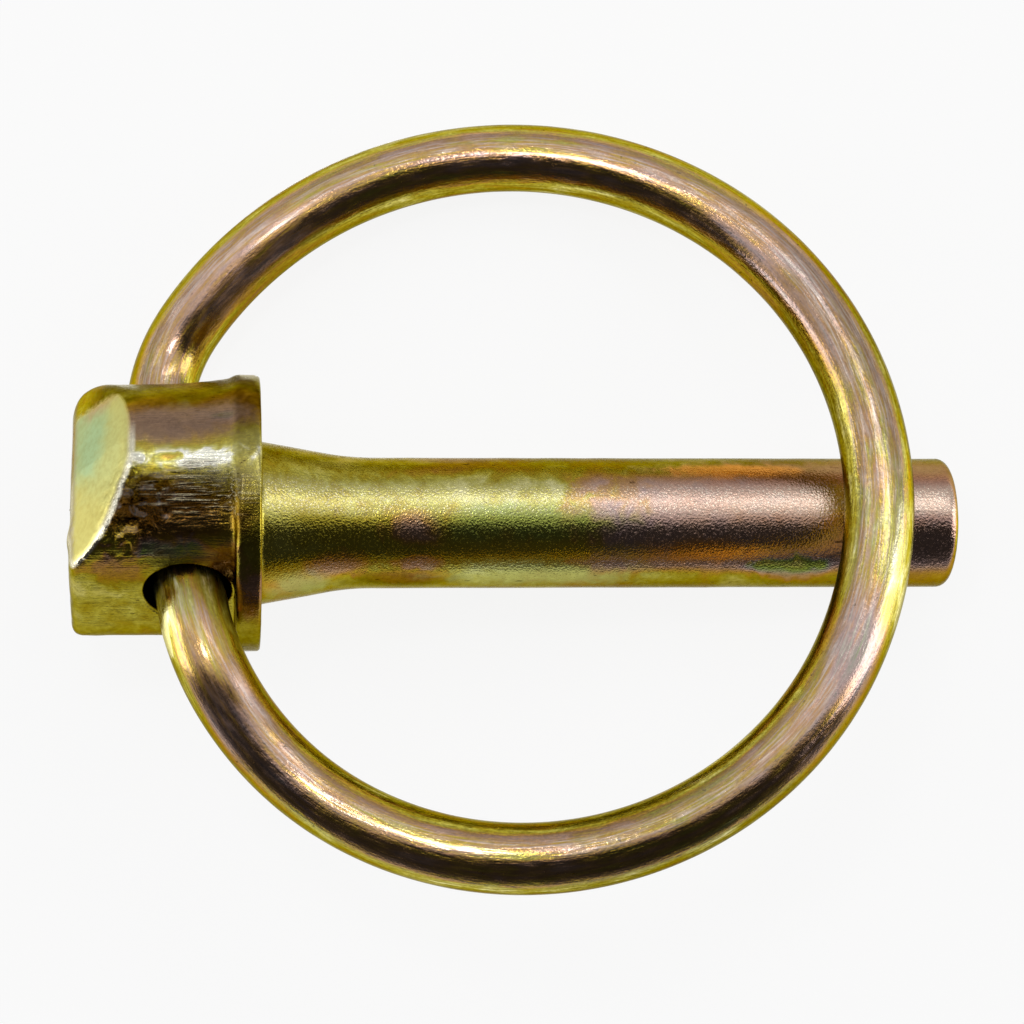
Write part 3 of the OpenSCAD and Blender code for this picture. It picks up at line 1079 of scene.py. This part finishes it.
def wire_finish():
    """The ring's plated, drawn wire."""
    material, make = new_finish("plated_wire")
    unbent = make.attribute("unbent")
    place = make.node("ShaderNodeMapping", {"vector_type": "TEXTURE"},
                      make.node("ShaderNodeTexCoord", out="Object"), Scale=(MM, MM, MM))
    sides = Sides(make)

    # Patterns along the straightened wire; cloud and blotch are centred on 0.
    cloud = make.noise(unbent, 0.09) - 0.5
    blotch = make.drawn_noise(unbent, (0.35, 0.9, 0.9), detail=5.0, distortion=0.6) - 0.5
    streaks = make.drawn_noise(unbent, (0.12, 1.6, 1.6), detail=4.0)
    mottle = make.ease(make.drawn_noise(unbent, (0.7, 3.2, 3.2), detail=6.0), 0.36, 0.74)
    lines = make.drawn_noise(unbent, (0.5, 7.0, 7.0), detail=3.0)
    grain = make.drawn_noise(unbent, (3.5, 5.5, 5.5), detail=3.0)
    specks = make.ease(make.noise(unbent, 2.1, detail=3.0), 0.68, 0.75)
    # Painted light: the wire beside the socket is made paler and less dull.
    painted_light = make.patches(place, blotch, RING_PAINTED_LIGHT)

    film = RING_PLAIN_FILM + sides.flat * 0.17 + (streaks - 0.5) * 0.62 + cloud * 0.32
    film = film + blotch * 0.46 + (lines - 0.5) * 0.22 + (grain - 0.5) * 0.08
    film = film + make.patches(place, blotch * 1.6, RING_FILM)
    # Dullness mixes specks and texture with painted shade: darker on the wire's sides that face
    # sideways.
    dullness_and_shade = 0.14 + specks * 0.6 + (1 - sides.level) * 0.30
    dullness_and_shade = dullness_and_shade + (lines - 0.5) * 0.9 + (grain - 0.5) * 0.8
    # Painted shade darkens two places on the wire; the painted light beside the socket lowers the
    # dullness.
    dullness_and_shade = dullness_and_shade + make.patches(place, blotch * 1.2, RING_PAINTED_SHADE) + painted_light * 2.0
    colour = plated_colour(make, film, make.clamp(dullness_and_shade), sides.flat)
    # Painted highlight: the wire goes pale along the band where the lamps' highlights fall.
    pale = sides.painted_highlight_band * (0.12 + (lines - 0.5) * 1.6)
    colour = make.blend(make.clamp(pale), colour, WIRE_HIGHLIGHT_PALE)

    height = lines * 1.8 + grain * (2.0 + mottle * 1.5) + streaks * 1.6
    roughness = PLATING_ROUGHNESS + blotch * 0.08 + specks * 0.2 + mottle * 0.14
    roughness = roughness + make.patches(place, blotch * 1.6, RING_ROUGH)
    metal_output(make, colour, roughness, height, WIRE_RELIEF, sides.flat, coat_roughness=0.12)
    return material


pin = make_pin(forged_finish())
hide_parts("pin")
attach(pin, "pin")

ring = make_ring(wire_finish())
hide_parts("ring")
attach(ring, "ring")


# ---------------------------------------------------------------- studio, in metres

FLOOR_HALF = 4.0
# A floor and a room that the camera sees as near white, however little light they get.
FLOOR_PAINT = (0.10, 0.10, 0.10)
FLOOR_POLISH = (0.8, 0.8, 0.8)
WHITE = (1, 1, 1)
FLOOR_GLOW = 0.885
ROOM_SEEN = 0.95

# Lamps that face the part: (name, place, width, height, watts).
LAMPS = (
    ("overhead_lamp", (-0.045, 0.080, 0.245), 0.035, 0.038, 0.055),
    ("rear_panel", (0.10, 0.195, 0.245), 0.20, 0.045, 0.064),
    ("left_softbox", (-0.30, 0.01, 0.075), 0.20, 0.15, 0.25),
    ("right_softbox", (0.30, 0.015, 0.105), 0.15, 0.21, 0.27),
    ("side_strip", (-0.18, 0.19, 0.21), 0.03, 0.10, 0.012),
)
LAMP_TARGET = Vector((0, 0, 0.01))

# The camera looks straight down; its focal length is in pixels of an image this wide.
CAMERA_PLACE = (0.00010, -0.00126, 0.22799)
FOCAL_PIXELS = 3002
IMAGE_PIXELS = 1024
SENSOR_MM = 36


def studio_floor():
    """The pale floor, which metal reflects as the pale surface that the camera sees."""
    half = FLOOR_HALF
    corners = [(-half, -half, 0), (half, -half, 0), (half, half, 0), (-half, half, 0)]
    floor = new_piece("floor", corners, [(0, 1, 2, 3)])
    material, make = new_finish("pale_floor")
    camera_ray = make.node("ShaderNodeLightPath", out="Is Camera Ray")
    glossy_ray = camera_ray.also("Is Glossy Ray")
    clear_ray = camera_ray.also("Is Transmission Ray")
    seen = make.number("MINIMUM", camera_ray + glossy_ray + clear_ray, 1.0)
    paint = make.node("ShaderNodeBsdfDiffuse", None, Color=FLOOR_PAINT)
    polish = make.node("ShaderNodeBsdfGlossy", None, Color=FLOOR_POLISH, Roughness=0.2)
    surface = make.node("ShaderNodeMixShader", None, glossy_ray * 0.3, paint, polish)
    glow = make.node("ShaderNodeEmission", None, Color=WHITE, Strength=seen * FLOOR_GLOW)
    both = make.node("ShaderNodeAddShader", None, surface, glow)
    make.node("ShaderNodeOutputMaterial", None, both)
    floor.data.materials.append(material)


def studio_light(name, place, width, height, power):
    """A flat lamp that lights the part but isn't seen itself."""
    lamp = bpy.data.lights.new(name, "AREA")
    lamp.shape = "RECTANGLE"
    lamp.size, lamp.size_y = width, height
    lamp.energy = power
    holder = bpy.data.objects.new(name, lamp)
    bpy.context.scene.collection.objects.link(holder)
    holder.location = place
    holder.rotation_euler = (LAMP_TARGET - Vector(place)).to_track_quat("-Z", "Y").to_euler()
    holder.visible_camera = False


def studio_world():
    """A soft pale room, with the dark of the camera and its stand overhead and to the front."""
    world = bpy.data.worlds.new("studio")
    bpy.context.scene.world = world
    world.use_nodes = True
    make = Nodes(world.node_tree)
    towards = make.node("ShaderNodeTexCoord", out="Generated")
    across, back, height = (make.part(towards, axis) for axis in "XYZ")
    past_stand = make.number("MAXIMUM", make.number("ABSOLUTE", across) - height * 0.6, 0)
    edge = back - across * 0.10 + past_stand * 0.45
    stand = make.ease(edge, 0.17, -0.04)
    stand_light = make.ease(height, 0.02, 0.45, 0.16, 0.035)
    room_light = make.ease(height, 0.0, 0.8, 0.50, 0.92)
    light = make.mix(stand, room_light, stand_light)
    light = make.mix(make.node("ShaderNodeLightPath", out="Is Camera Ray"), light, ROOM_SEEN)
    backdrop = make.node("ShaderNodeBackground", None, Color=WHITE, Strength=light)
    make.node("ShaderNodeOutputWorld", None, backdrop)


def studio_camera():
    """The camera above the part."""
    lens = bpy.data.cameras.new("camera")
    lens.sensor_width = SENSOR_MM
    lens.lens = FOCAL_PIXELS / IMAGE_PIXELS * SENSOR_MM
    camera = bpy.data.objects.new("camera", lens)
    bpy.context.scene.collection.objects.link(camera)
    camera.location = CAMERA_PLACE
    bpy.context.scene.camera = camera


studio_floor()
studio_world()
for lamp in LAMPS:
    studio_light(*lamp)
studio_camera()
bpy.context.scene.view_settings.view_transform = "Standard"
